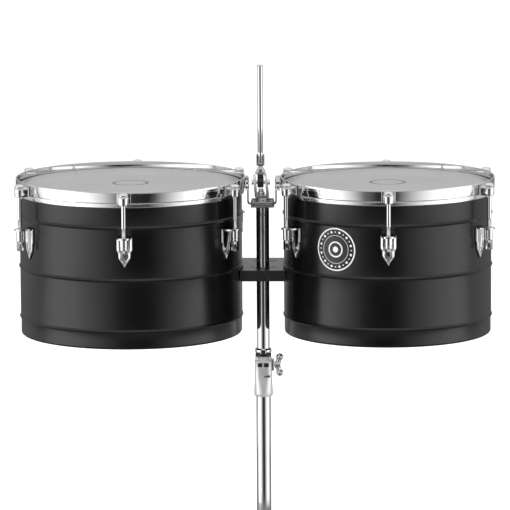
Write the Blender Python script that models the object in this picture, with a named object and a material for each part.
"""Timbales: two steel-shelled drums on one centre stand, with a bell-rod holder.
Built standing on its feet, metres, +Z up, front towards -Y."""
import bpy
import bmesh
import math
from mathutils import Matrix, Vector

MM = 0.001

# ---- overall layout (mm); the pole axis is the working origin -------------
HOOP_TOP = 900.0            # height of both playing rims above the floor
SHIFT_X, SHIFT_Y = 12.750, -96.608   # puts the box centre on the origin
DRUM_Y = 8.0                # drum axes stand this far behind the pole
SEG = 48                    # facets round a drum

# name, axis x, shell radius, rim radius, azimuth of the first tension rod
DRUMS = [("left", -225.9, 190.5, 196.6, -0.8),
         ("right", 213.6, 177.8, 183.4, 0.0)]
SHELL_T = 1.8
SHELL_TOP, SHELL_BOTTOM = -12.4, -268.7
BEADS = (-62.0, -151.0, -238.0)
BEAD_OUT, BEAD_HALF = 2.0, 3.6
SKIRT_STEP = 0.8            # the shell is this much slimmer below the last bead
ROD_OUT = 20.0              # tension rod axis outside the shell
RIM_T, RIM_H = 3.0, 19.0
BAND_H = 8.0                # head hoop showing below the rim
HEAD_Z, FILM_T = -11.3, 0.7

# ---- tension rods and lugs -------------------------------------------------
ROD_R, ROD_HOLE = 3.7, 4.4
DOME_R, DOME_TOP = 8.5, 0.6
EYE_R, EYE_TOP, EYE_BOTTOM = 8.4, -4.6, -20.0
SHELF_Z, SHELF_T, SHELF_OUT = -75.5, 3.0, 29.0
SLEEVE_R, SLEEVE_BOTTOM = 6.6, SHELF_Z - 20.5
NUT_AF, NUT_BOTTOM = 10.4, SHELF_Z - 37.5
LUG_OFF, LUG_T = 0.5, 2.6
LUG_HALF, LUG_TIP = 13.0, SHELF_Z - 53.0

# ---- stand -----------------------------------------------------------------
TUBE_R, TUBE_WALL = 11.1, 1.5
TUBE_TOP, TUBE_BOTTOM = -52.4, -600.0
OUTER_R, OUTER_IN = 12.7, 11.6
OUTER_TOP, OUTER_BOTTOM = -331.0, -845.0
LOCK_TOP, LOCK_BOTTOM, LOCK_R = -297.0, -305.4, 14.2
CLAMP_TOP, CLAMP_BOTTOM = -306.0, -380.5
BOLT_Z = -326.5
PLATE_TOP, PLATE_T = -158.0, 18.8
PLATE_FRONT, PLATE_BACK = -31.0, 114.0
PLATE_GAP = 0.9
SLOTS = [(-22.0, -14.5, 9.0), (14.5, 25.0, 9.0), (-18.0, 24.0, 78.0)]   # x from, x to, y

# ---- tripod (heights here are above the floor) -----------------------------
LEG_SPREAD = math.radians(56.0)
PIVOT_R = 27.0
LINK = 150.0                # leg pivot to brace pivot, and brace length
BRACE_Z = 83.0
LEG_Z = BRACE_Z + 2 * LINK * math.cos(LEG_SPREAD)
LEG_AZ = (60.0, 180.0, 300.0)
STRAP_T, STRAP_W, STRAP_IN = 2.5, 14.0, 7.0
FOOT_R, FOOT_H = 13.0, 24.0


def link(name, bm):
    bmesh.ops.remove_doubles(bm, verts=bm.verts, dist=1e-4)
    bmesh.ops.recalc_face_normals(bm, faces=bm.faces)
    mesh = bpy.data.meshes.new(name)
    bm.to_mesh(mesh)
    bm.free()
    obj = bpy.data.objects.new(name, mesh)
    bpy.context.scene.collection.objects.link(obj)
    return obj


def rings(name, loops, closed=False):
    """Skin a stack of equal-length point loops; flat caps unless closed."""
    bm = bmesh.new()
    rows = [[bm.verts.new(p) for p in loop] for loop in loops]
    pairs = list(zip(rows, rows[1:])) + ([(rows[-1], rows[0])] if closed else [])
    for a, b in pairs:
        for i in range(len(a)):
            j = (i + 1) % len(a)
            bm.faces.new((a[i], a[j], b[j], b[i]))
    if not closed:
        bm.faces.new(rows[0])
        bm.faces.new(rows[-1])
    return link(name, bm)


def circle(r, z, n, cx=0.0, cy=0.0, turn=0.0):
    return [(cx + r * math.cos(2 * math.pi * (i + turn) / n),
             cy + r * math.sin(2 * math.pi * (i + turn) / n), z) for i in range(n)]


def lathe(name, profile, n, cx=0.0, cy=0.0, closed=True, turn=0.0):
    """Turn (radius, height) points about a vertical axis."""
    return rings(name, [circle(r, z, n, cx, cy, turn) for r, z in profile], closed)


def ring(name, r_in, r_out, z0, z1, n, cx=0.0, cy=0.0):
    return lathe(name, [(r_out, z1), (r_out, z0), (r_in, z0), (r_in, z1)], n, cx, cy)


def prism(name, outline, z0, z1):
    return rings(name, [[(x, y, z0) for x, y in outline], [(x, y, z1) for x, y in outline]])


def box(name, x0, x1, y0, y1, z0, z1):
    return prism(name, [(x0, y0), (x1, y0), (x1, y1), (x0, y1)], z0, z1)


def rod(name, a, b, r, n, turn=0.5):
    """A round bar from point a to point b."""
    a, b = Vector(a), Vector(b)
    turn_to = (b - a).to_track_quat("Z", "Y").to_matrix()
    loops = []
    for end in (a, b):
        loops.append([tuple(end + turn_to @ Vector(p)) for p in circle(r, 0.0, n, turn=turn)])
    return rings(name, loops)


def ball(name, centre, r, n=12):
    bm = bmesh.new()
    bmesh.ops.create_icosphere(bm, subdivisions=2, radius=r, matrix=Matrix.Translation(centre))
    return link(name, bm)


def combine(base, others, how="UNION"):
    """Boolean the others into base, in order, and drop them."""
    for other in others:
        mod = base.modifiers.new("b", "BOOLEAN")
        mod.operation = how
        mod.solver = "EXACT"
        mod.object = other
        graph = bpy.context.evaluated_depsgraph_get()
        graph.update()
        mesh = bpy.data.meshes.new_from_object(base.evaluated_get(graph))
        base.modifiers.clear()
        base.data = mesh
        bpy.data.objects.remove(other)
    return base


def cut(base, others):
    return combine(base, others, "DIFFERENCE")


def transform(obj, matrix):
    obj.data.transform(matrix)
    return obj


def copy_of(obj, name, matrix):
    new = bpy.data.objects.new(name, obj.data.copy())
    bpy.context.scene.collection.objects.link(new)
    return transform(new, matrix)


def around(cx, cy, azimuth):
    """Local frame: +X outwards, azimuth measured from the front (-Y) towards +X."""
    return Matrix.Translation((cx, cy, 0)) @ Matrix.Rotation(math.radians(azimuth - 90.0), 4, "Z")


def rod_azimuths(first):
    return [first + 60.0 * k for k in range(6)]


# ---- drums -----------------------------------------------------------------
def shell(name, cx, r):
    low = r - SKIRT_STEP
    outer = [(r, SHELL_TOP)]
    for z in BEADS:
        below = low if z == BEADS[-1] else r
        outer += [(r, z + BEAD_HALF), (r + BEAD_OUT, z + 1.2), (r + BEAD_OUT, z - 1.2),
                  (below, z - BEAD_HALF)]
    outer += [(low, SHELL_BOTTOM + 4.0), (low - 1.2, SHELL_BOTTOM + 1.2), (low - 4.0, SHELL_BOTTOM)]
    inner = [(low - 4.0, SHELL_BOTTOM + 1.8), (low - SHELL_T, SHELL_BOTTOM + 4.4),
             (low - SHELL_T, BEADS[-1] - BEAD_HALF), (r - SHELL_T, BEADS[-1] + BEAD_HALF),
             (r - SHELL_T, SHELL_TOP)]
    return lathe(name, outer + inner, SEG, cx, DRUM_Y)


def head(name, cx, r):
    under = HEAD_Z - FILM_T
    loops = [(1.0, HEAD_Z), (r + 0.4, HEAD_Z), (r + 1.9, HEAD_Z - 1.4), (r + 1.9, -RIM_H),
             (r + 0.8, -RIM_H), (r + 0.8, under - 0.6), (r - 0.4, under), (1.0, under)]
    return lathe(name, loops, SEG, cx, DRUM_Y, closed=False)


def rim(name, cx, r_shell, r_rim, first):
    body = ring(name, r_rim - RIM_T, r_rim, -RIM_H, 0.0, SEG, cx, DRUM_Y)
    eyes, holes = [], []
    for az in rod_azimuths(first):
        place = around(cx, DRUM_Y, az)
        out = r_shell + ROD_OUT
        strap = box("strap", r_rim - 1.6, r_rim + 2.2, -11.5, 11.5, EYE_BOTTOM + 1.6, EYE_TOP + 2.6)
        web = box("web", r_rim - 1.3, out, -5.0, 5.0, EYE_BOTTOM, EYE_TOP)
        barrel = prism("barrel", [p[:2] for p in circle(EYE_R, 0, 12, out)], EYE_BOTTOM, EYE_TOP)
        hole = prism("hole", [p[:2] for p in circle(ROD_HOLE, 0, 8, out, turn=0.5)], -30.0, 10.0)
        combine(web, [barrel, strap])
        eyes.append(transform(web, place))
        holes.append(transform(hole, place))
    combine(body, eyes)
    return cut(body, holes)


def hexagon(z, n=12):
    """Twelve points round a hexagon, matching the round loops above it."""
    pts = []
    half = NUT_AF / 2
    for i in range(n):
        a = 2 * math.pi * i / n
        off = (a + math.pi / 6) % (math.pi / 3) - math.pi / 6
        r = half / math.cos(off)
        pts.append((r * math.cos(a + math.pi / 6), r * math.sin(a + math.pi / 6), z))
    return pts


def tension_rod_mesh():
    def turn(r, z):
        return circle(r, z, 12, turn=1.0)
    loops = [turn(4.2, DOME_TOP), turn(7.2, DOME_TOP - 1.2), turn(DOME_R, DOME_TOP - 3.0),
             turn(DOME_R, EYE_TOP + 0.35), turn(ROD_R, EYE_TOP + 0.35),
             turn(ROD_R, SLEEVE_BOTTOM - 0.4), hexagon(SLEEVE_BOTTOM - 0.4), hexagon(NUT_BOTTOM)]
    return rings("rod_master", loops)


def lug_mesh():
    """x is measured outwards from the shell surface."""
    half = LUG_HALF
    side = [(half, 0.0), (half, -24.0), (10.0, -29.0), (10.0, -37.0), (5.5, -45.0)]
    shield = [(y, SHELF_Z + z) for y, z in side] + [(0.0, LUG_TIP)]
    shield += [(-y, SHELF_Z + z) for y, z in reversed(side)]
    plate = rings("lug_master", [[(x, y, z) for y, z in shield] for x in (LUG_OFF, LUG_OFF + LUG_T)])
    end = SHELF_OUT
    shelf = prism("shelf", [(LUG_OFF, -half), (14.0, -half), (end - 3.0, -8.5), (end, -5.0),
                            (end, 5.0), (end - 3.0, 8.5), (14.0, half), (LUG_OFF, half)],
                  SHELF_Z - SHELF_T, SHELF_Z)
    sleeve = prism("sleeve", [p[:2] for p in circle(SLEEVE_R, 0, 12, ROD_OUT)],
                   SLEEVE_BOTTOM, SHELF_Z - 1.0)
    hole = prism("hole", [p[:2] for p in circle(ROD_HOLE, 0, 8, ROD_OUT, turn=0.5)], -140.0, -70.0)
    return cut(combine(plate, [shelf, sleeve]), [hole])


def build_drums():
    rod_master, lug_master = tension_rod_mesh(), lug_mesh()
    for side, cx, r, r_rim, first in DRUMS:
        shell("shell_" + side, cx, r)
        head("head_" + side, cx, r)
        ring("flesh_hoop_" + side, r + 0.8, r_rim - 1.8, -RIM_H - 0.4 - BAND_H, -RIM_H - 0.4,
             SEG, cx, DRUM_Y)
        rim("rim_" + side, cx, r, r_rim, first)
        for k, az in enumerate(rod_azimuths(first), 1):
            place = around(cx, DRUM_Y, az)
            out = place @ Matrix.Translation((r + ROD_OUT, 0, 0))
            copy_of(rod_master, "tension_rod_%s_%d" % (side, k), out)
            copy_of(lug_master, "lug_%s_%d" % (side, k), place @ Matrix.Translation((r, 0, 0)))
    bpy.data.objects.remove(rod_master)
    bpy.data.objects.remove(lug_master)


# ---- plate between the drums ----------------------------------------------
def side_point(index, y, gap):
    """x of the plate's edge beside a shell at depth y."""
    _, cx, r, _, _ = DRUMS[index]
    reach = math.sqrt((r + gap) ** 2 - (y - DRUM_Y) ** 2)
    return cx + reach if index == 0 else cx - reach


def mount_plate():
    def outline(gap, front, back):
        ys = [front + (back - front) * i / 9.0 for i in range(10)]
        right = [(side_point(1, y, gap), y) for y in ys]
        left = [(side_point(0, y, gap), y) for y in reversed(ys)]
        return right + left
    plate = prism("mount_plate", outline(PLATE_GAP, PLATE_FRONT, PLATE_BACK),
                  PLATE_TOP - PLATE_T, PLATE_TOP)
    pocket = prism("pocket", outline(PLATE_GAP + 4.0, PLATE_FRONT + 4.0, PLATE_BACK - 4.0),
                   PLATE_TOP - PLATE_T - 5.0, PLATE_TOP - 4.0)
    collar = prism("collar", [p[:2] for p in circle(TUBE_R + 2.8, 0, 16)],
                   PLATE_TOP - PLATE_T, PLATE_TOP - 1.0)
    bore = prism("bore", [p[:2] for p in circle(TUBE_R + 0.4, 0, 16)], -210.0, -140.0)
    slots = []
    for x0, x1, y in SLOTS:
        slots.append(box("slot", x0, x1, y - 2.6, y + 2.6, PLATE_TOP - 5.0, PLATE_TOP + 5.0))
    cut(plate, [pocket])
    combine(plate, [collar])
    return cut(plate, [bore] + slots)


# ---- bell holder on top of the pole ---------------------------------------
BASE_HALF = 20.0
STRAP_Z0, STRAP_Z1 = -48.7, -45.9
ARM_LEFT, ARM_RIGHT = -26.2, 24.2     # inner faces of the bridge arms
ARM_T = 2.4
PIVOT_Z = -10.0
EAR_R = 13.4


def holder():
    # lower plate, welded on the tube's plug
    base = box("holder_base", -BASE_HALF, BASE_HALF, -14.0, 20.0, -52.0, -49.0)
    plug = prism("plug", [p[:2] for p in circle(TUBE_R - TUBE_WALL - 0.4, 0, 16)], -75.0, -50.0)
    combine(base, [plug])
    # strap that ties both rims together
    bridge = box("rim_bridge", ARM_LEFT, ARM_RIGHT, -2.0, 16.0, STRAP_Z0, STRAP_Z1)
    left_rim = DRUMS[0][1] + DRUMS[0][3]
    right_rim = DRUMS[1][1] - DRUMS[1][3]
    arms = [box("arm", ARM_LEFT, ARM_LEFT + ARM_T, -2.0, 16.0, STRAP_Z0, -2.0),
            box("arm", ARM_RIGHT - ARM_T, ARM_RIGHT, -2.0, 16.0, STRAP_Z0, -2.0),
            box("clip", left_rim + 0.4, ARM_LEFT + ARM_T - 0.6, -5.0, 21.0, -24.0, -0.6),
            box("clip", ARM_RIGHT - ARM_T + 0.6, right_rim - 0.4, -5.0, 21.0, -24.0, -0.6)]
    combine(bridge, arms)
    # upper plate with its raised boss
    clamp = box("clamp_plate", -BASE_HALF, BASE_HALF, -14.0, 20.0, -45.6, -42.6)
    boss = [(13.0 * math.cos(t), 3.0 + 9.5 * math.sin(t)) for t in
            [2 * math.pi * (i + 0.5) / 16 for i in range(16)]]
    combine(clamp, [prism("boss", boss, -44.0, -35.0)])
    # leaning U bracket with round ears about the tilt axis
    def lean(z):
        return -1.0 - 3.0 * (z + 34.6) / 32.6
    ear = [(-10.0, -34.6), (14.0, -34.6)]
    for i in range(9):
        a = math.radians(26.4 + 127.2 * i / 8)
        ear.append((2.0 + EAR_R * math.cos(a), PIVOT_Z + EAR_R * math.sin(a)))
    yoke = rings("holder_yoke", [[(lean(z) + w, y, z) for y, z in ear] for w in (-12.0, 12.0)])
    inner = [[(lean(z) - 7.9, -20.0, z), (lean(z) + 7.9, -20.0, z), (lean(z) + 7.9, 24.0, z),
              (lean(z) - 7.9, 24.0, z)] for z in (-31.6, 8.0)]
    pin_hole = rod("pin_hole", (-30, 2, PIVOT_Z), (30, 2, PIVOT_Z), 3.6, 12)
    cut(yoke, [rings("inner", inner), pin_hole])
    # tilting block with its tapered neck
    block = rod("tilt_block", (-8.6, 2, PIVOT_Z), (1.9, 2, PIVOT_Z), 9.4, 16)
    neck = rings("neck", [[(x, y, z) for x, y in ((-3.3 - w, 2 - d), (-3.3 + w, 2 - d),
                 (-3.3 + w, 2 + d), (-3.3 - w, 2 + d))]
                 for z, w, d in ((-8.0, 5.2, 7.0), (3.9, 5.4, 6.8), (4.0, 9.4, 6.6),
                                 (11.0, 8.2, 6.2), (19.0, 4.2, 4.5))])
    bolt_way = rod("way", (-30, 2, PIVOT_Z), (30, 2, PIVOT_Z), 3.6, 12)
    cut(combine(block, [neck]), [bolt_way])
    pin = rod("pivot_bolt", (-18.4, 2, PIVOT_Z), (12.6, 2, PIVOT_Z), 3.1, 12)
    combine(pin, [rod("bolt_head", (-18.6, 2, PIVOT_Z), (-16.2, 2, PIVOT_Z), 5.6, 6),
                  rod("bolt_nut", (9.7, 2, PIVOT_Z), (12.8, 2, PIVOT_Z), 5.6, 6)])
    # rod clamp, its screw and the bell rod
    clampbox = box("rod_clamp", -10.3, 3.7, -5.0, 9.0, 19.4, 38.0)
    bore = prism("bore", [p[:2] for p in circle(5.35, 0, 16, ROD_X, ROD_Y)], 22.0, 50.0)
    screw_way = rod("way", (ROD_X, 4.0, 30.0), (ROD_X, 20.0, 30.0), 2.6, 10)
    cut(clampbox, [bore, screw_way])
    screw = rod("rod_screw", (ROD_X, 7.5, 30.0), (ROD_X, 18.0, 30.0), 2.2, 10)
    combine(screw, [rod("knob", (ROD_X, 9.6, 30.0), (ROD_X, 18.0, 30.0), 5.2, 16)])
    lathe("bell_rod", [(4.0, 192.0), (4.9, 190.0), (4.9, 22.6), (4.4, 22.3)], 16, ROD_X, ROD_Y,
          closed=False)


ROD_X, ROD_Y = -3.3, 2.0


# ---- pole ------------------------------------------------------------------
def pole():
    lathe("upper_tube", [(TUBE_R, TUBE_TOP), (TUBE_R, TUBE_BOTTOM),
                         (TUBE_R - TUBE_WALL, TUBE_BOTTOM), (TUBE_R - TUBE_WALL, TUBE_TOP)], 16)
    lathe("lower_tube", [(OUTER_R, OUTER_TOP), (OUTER_R, OUTER_BOTTOM),
                         (OUTER_IN, OUTER_BOTTOM), (OUTER_IN, OUTER_TOP)], 20)
    lock = ring("memory_lock", TUBE_R + 0.35, LOCK_R, LOCK_BOTTOM, LOCK_TOP, 20)
    combine(lock, [box("ear", -5.0, 5.0, -19.0, -12.4, LOCK_BOTTOM + 0.8, LOCK_TOP - 0.8)])
    clamp = lathe("height_clamp", [(13.6, CLAMP_TOP), (14.2, -312.0), (14.2, -330.0),
                                   (15.6, -338.0), (16.2, -372.0), (16.2, -377.5),
                                   (14.8, CLAMP_BOTTOM), (OUTER_R + 0.3, CLAMP_BOTTOM),
                                   (OUTER_R + 0.3, OUTER_TOP + 0.4), (TUBE_R + 0.4, OUTER_TOP + 0.4),
                                   (TUBE_R + 0.4, CLAMP_TOP)], 20)
    jaw = box("jaw", 13.4, 19.0, -7.5, 7.5, -336.0, -316.0)
    cut(combine(clamp, [jaw]), [rod("way", (11.0, 0, BOLT_Z), (30.0, 0, BOLT_Z), 3.4, 12)])
    bolt = rod("height_wing_bolt", (13.0, 0, BOLT_Z), (29.0, 0, BOLT_Z), 3.0, 12)
    parts = [rod("hub", (19.6, 0, BOLT_Z), (29.5, 0, BOLT_Z), 5.9, 12)]
    for s in (-1, 1):
        tip = (28.0, 0, BOLT_Z + s * 13.6)
        parts.append(rod("arm", (24.3, 0, BOLT_Z + s * 2.0), tip, 4.6, 10))
        parts.append(ball("ball", tip, 6.3))
    combine(bolt, parts)


# ---- tripod ----------------------------------------------------------------
def strap_outline(length, half, far_round=True):
    """Flat bar outline from its pivot at 0 to length, with round ends."""
    near = [(half * math.cos(a), half * math.sin(a)) for a in
            [math.pi / 2 + math.pi * i / 4 for i in range(5)]]
    far = [(length + half * math.cos(a), half * math.sin(a)) for a in
           [-math.pi / 2 + math.pi * i / 4 for i in range(5)]]
    return near + (far if far_round else [(length, -half), (length, half)])


def in_plane(name, outline, y0, y1, angle, pivot_z):
    """Outline along a line leaving the pivot at an angle below the outward direction."""
    c, s = math.cos(angle), math.sin(angle)
    loops = [[(PIVOT_R + u * c + v * s, y, pivot_z - u * s + v * c) for u, v in outline]
             for y in (y0, y1)]
    return rings(name, loops)


def build_tripod():
    down = math.pi / 2 - LEG_SPREAD
    foot_x = PIVOT_R + LEG_Z * math.tan(LEG_SPREAD)
    leg_len = LEG_Z / math.cos(LEG_SPREAD) - 14.0
    half = STRAP_W / 2
    out = STRAP_IN + STRAP_T
    leg = in_plane("leg_a", strap_outline(leg_len, half, False), -out, -STRAP_IN, down, LEG_Z)
    other = in_plane("leg_b", strap_outline(leg_len, half, False), STRAP_IN, out, down, LEG_Z)
    web = in_plane("web", [(leg_len - 70.0, -half), (leg_len - 70.0, half), (leg_len, half),
                           (leg_len, -half)], -STRAP_IN - 1.0, STRAP_IN + 1.0, down, LEG_Z)
    tie = in_plane("tie", [(leg_len * 0.6, -4.0), (leg_len * 0.6, 4.0), (leg_len * 0.6 + 8.0, 4.0),
                           (leg_len * 0.6 + 8.0, -4.0)], -STRAP_IN - 1.0, STRAP_IN + 1.0, down, LEG_Z)
    combine(leg, [other, web, tie])
    brace = in_plane("brace_master", strap_outline(LINK, 6.0), -2.0, 2.0, -down, BRACE_Z)
    foot = lathe("foot_master", [(FOOT_R, 0.0), (FOOT_R, 8.0), (FOOT_R - 1.0, FOOT_H - 4.0),
                                 (FOOT_R - 4.0, FOOT_H)], 16, foot_x - 7.0, 0.0, closed=False)
    pocket = in_plane("pocket", [(leg_len - 40.0, -half - 0.35), (leg_len - 40.0, half + 0.35),
                                 (leg_len + 0.35, half + 0.35), (leg_len + 0.35, -half - 0.35)],
                      -out - 0.35, out + 0.35, down, LEG_Z)
    cut(foot, [pocket])
    for k, az in enumerate(LEG_AZ, 1):
        place = around(0.0, 0.0, az)
        copy_of(leg, "leg_%d" % k, place)
        copy_of(brace, "brace_%d" % k, place)
        copy_of(foot, "foot_%d" % k, place)
    for master in (leg, brace, foot):
        bpy.data.objects.remove(master)

    collar = ring("leg_collar", OUTER_R + 0.35, 19.0, LEG_Z - 15.0, LEG_Z + 13.0, 24)
    low = ring("lower_collar", OUTER_R + 0.35, 18.0, BRACE_Z - 14.0, BRACE_Z + 10.0, 24)
    for az in LEG_AZ:
        place = around(0.0, 0.0, az)
        ear = box("ear", 16.0, PIVOT_R + 6.0, -STRAP_IN + 0.6, STRAP_IN - 0.6, LEG_Z - 7.0, LEG_Z + 7.0)
        combine(collar, [transform(ear, place)])
        for s in (-1, 1):
            y0, y1 = sorted((s * 2.6, s * 5.4))
            ear = box("ear", 15.0, PIVOT_R + 6.0, y0, y1, BRACE_Z - 7.0, BRACE_Z + 7.0)
            combine(low, [transform(ear, place)])
    boss = rod("boss", (0, -16.0, LEG_Z), (0, -24.0, LEG_Z), 7.5, 12)
    cut(combine(collar, [boss]), [rod("way", (0, -11.0, LEG_Z), (0, -40.0, LEG_Z), 3.4, 12)])
    screw = rod("collar_screw", (0, -13.2, LEG_Z), (0, -33.0, LEG_Z), 3.0, 12)
    combine(screw, [rod("hub", (0, -24.5, LEG_Z), (0, -33.0, LEG_Z), 5.0, 12),
                    box("wings", -17.0, 17.0, -33.5, -29.5, LEG_Z - 4.5, LEG_Z + 4.5)])


def main():
    for old in list(bpy.data.objects):
        bpy.data.objects.remove(old)
    build_drums()
    mount_plate()
    holder()
    pole()
    lift = Matrix.Translation((0, 0, HOOP_TOP))
    for obj in bpy.context.scene.objects:
        transform(obj, lift)
    build_tripod()
    to_row = Matrix.Scale(MM, 4) @ Matrix.Translation((SHIFT_X, SHIFT_Y, 0))
    for obj in bpy.context.scene.objects:
        transform(obj, to_row)


main()
